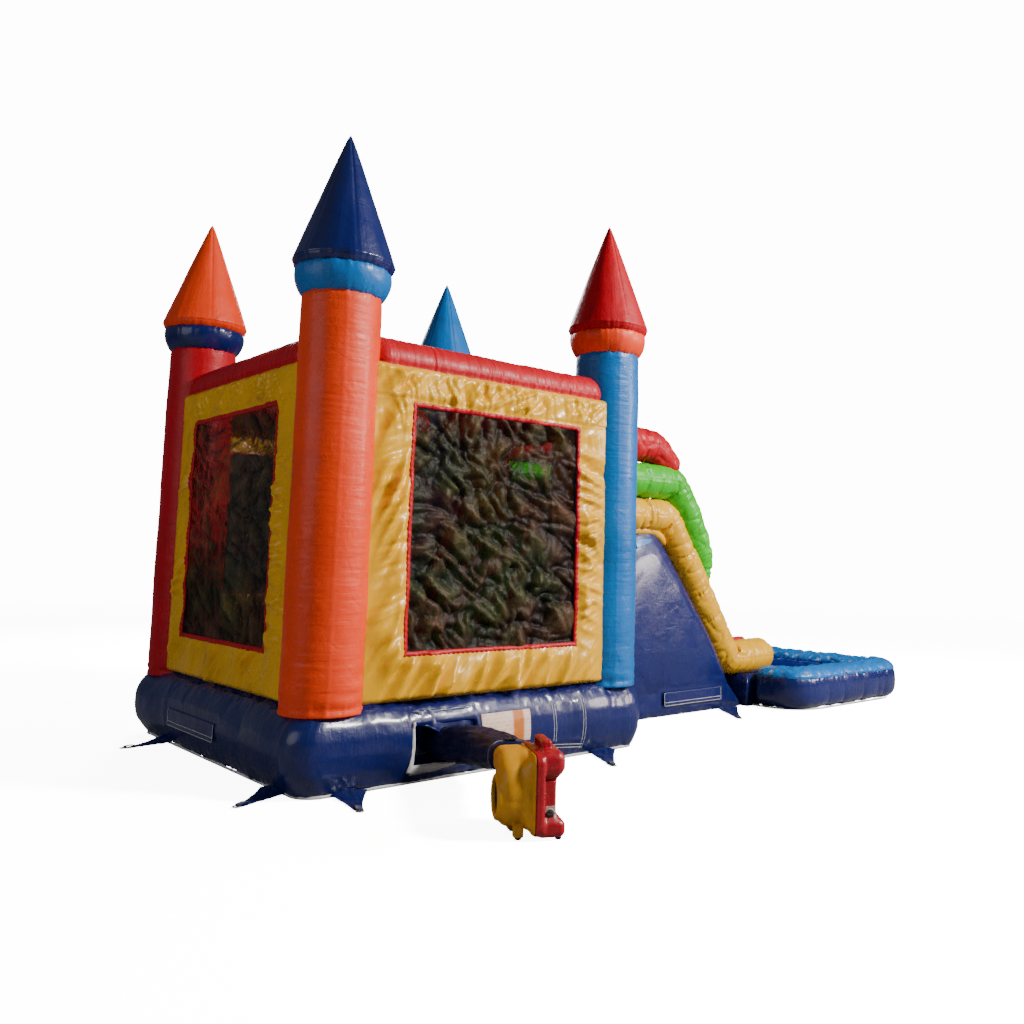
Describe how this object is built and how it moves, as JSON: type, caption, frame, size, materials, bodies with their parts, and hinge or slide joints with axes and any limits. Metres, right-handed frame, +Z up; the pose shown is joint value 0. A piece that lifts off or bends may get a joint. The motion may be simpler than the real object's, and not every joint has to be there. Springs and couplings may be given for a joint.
{
  "type": "inflatable bounce house",
  "caption": "Inflatable castle bounce house with turret columns, netted windows, a side slide into a splash pool, ground anchors and an electric blower on its sleeve.",
  "frame": {"origin": "centre of the house base's underside, on the ground", "axes": "+X towards the slide and pool, -Y towards the blower, +Z up"},
  "size_m": [7.921, 5.3574, 4.4],
  "materials": {
    "vinyl_navy": "glossy PVC-coated fabric",
    "vinyl_royal": "glossy PVC-coated fabric",
    "vinyl_sky": "glossy PVC-coated fabric",
    "vinyl_orange": "glossy PVC-coated fabric",
    "vinyl_red": "glossy PVC-coated fabric",
    "vinyl_yellow": "glossy PVC-coated fabric",
    "vinyl_green": "glossy PVC-coated fabric",
    "vinyl_grey": "scuffed PVC strip",
    "mesh_black": "knotless safety netting",
    "webbing_navy": "woven webbing",
    "housing_yellow": "rotomoulded polyethylene",
    "housing_red": "rotomoulded polyethylene",
    "plastic_black": "moulded nylon",
    "steel_zinc": "zinc plated",
    "motor_grey": "enamelled",
    "rubber_black": "matt rubber"
  },
  "bodies": {
    "root": {"base_ring": "vinyl_navy", "bounce_floor": "vinyl_royal", "column_orange": "vinyl_orange", "column_blue": "vinyl_sky", "column_red": "vinyl_red", "column_navy": "vinyl_navy", "cap_band_orange": "vinyl_sky", "cap_band_blue": "vinyl_orange", "cap_band_red": "vinyl_navy", "cap_band_navy": "vinyl_red", "cone_orange": "vinyl_navy", "cone_blue": "vinyl_red", "cone_red": "vinyl_orange", "cone_navy": "vinyl_sky", "top_tube_blower_side": "vinyl_red", "top_tube_rear": "vinyl_red", "top_tube_entrance": "vinyl_red", "top_tube_slide_side": "vinyl_red", "wall_blower_side": "vinyl_yellow", "wall_rear": "vinyl_yellow", "wall_entrance": "vinyl_yellow", "wall_slide_side": "vinyl_yellow", "window_blower_side": "mesh_black", "window_rear": "mesh_black", "window_entrance": "mesh_black", "entrance_step": "vinyl_red", "slide_body": "vinyl_navy", "slide_bed": "vinyl_royal", "yellow_rail_near": "vinyl_yellow", "yellow_rail_far": "vinyl_yellow", "green_rail_near": "vinyl_green", "green_rail_far": "vinyl_green", "red_rail_near": "vinyl_red", "red_rail_far": "vinyl_red", "slide_end_bumpers": "vinyl_red", "climbing_wall": "vinyl_green", "climbing_side_tubes": "vinyl_red", "climbing_grips": "vinyl_yellow", "pool_wall": "vinyl_navy", "pool_rim": "vinyl_sky", "pool_floor": "vinyl_royal", "ground_hem": "vinyl_grey", "anchor_tabs": "vinyl_navy", "anchor_eyelets": "steel_zinc", "zip_tapes": "webbing_navy", "inflation_sleeve": "vinyl_navy", "sleeve_strap": "webbing_navy", "blower_inlet_housing": "housing_yellow", "blower_motor_housing": "housing_red", "blower_motor": "motor_grey", "blower_grille": "plastic_black", "blower_feet": "rubber_black", "blower_screws": "steel_zinc"},
    "impeller": {"blower_impeller": "plastic_black", "blower_shaft": "steel_zinc"},
    "switch": {"blower_switch": "plastic_black"},
    "rear_slider": {"zip_slider_rear": "steel_zinc"},
    "slide_slider": {"zip_slider_slide": "steel_zinc"},
    "rear_flap": {"zip_flap_rear": "vinyl_navy"},
    "slide_flap": {"zip_flap_slide": "vinyl_navy"}
  },
  "joints": [
    {"name": "impeller_spin", "type": "hinge", "parent": "root", "child": "impeller", "pos_m": [-0.785, -2.822, 0.205], "axis": [-0.891, 0.454, 0], "continuous": true},
    {"name": "switch_turn", "type": "hinge", "parent": "root", "child": "switch", "pos_m": [-0.76463, -2.96706, 0.131], "axis": [-0.454, -0.891, 0], "range_deg": [0, 90]},
    {"name": "rear_zip_pull", "type": "slide", "parent": "root", "child": "rear_slider", "axis": [0, 1, 0], "range_m": [0, 0.8]},
    {"name": "slide_zip_pull", "type": "slide", "parent": "root", "child": "slide_slider", "axis": [-1, 0, 0], "range_m": [0, 0.75]},
    {"name": "rear_flap_lift", "type": "hinge", "parent": "root", "child": "rear_flap", "pos_m": [-1.5335, 0.235, 0.3], "axis": [0, 1, 0], "range_deg": [0, 110]},
    {"name": "slide_flap_lift", "type": "hinge", "parent": "root", "child": "slide_flap", "pos_m": [3.08, -0.6635, 0.235], "axis": [-1, 0, 0], "range_deg": [0, 110]}
  ]
}
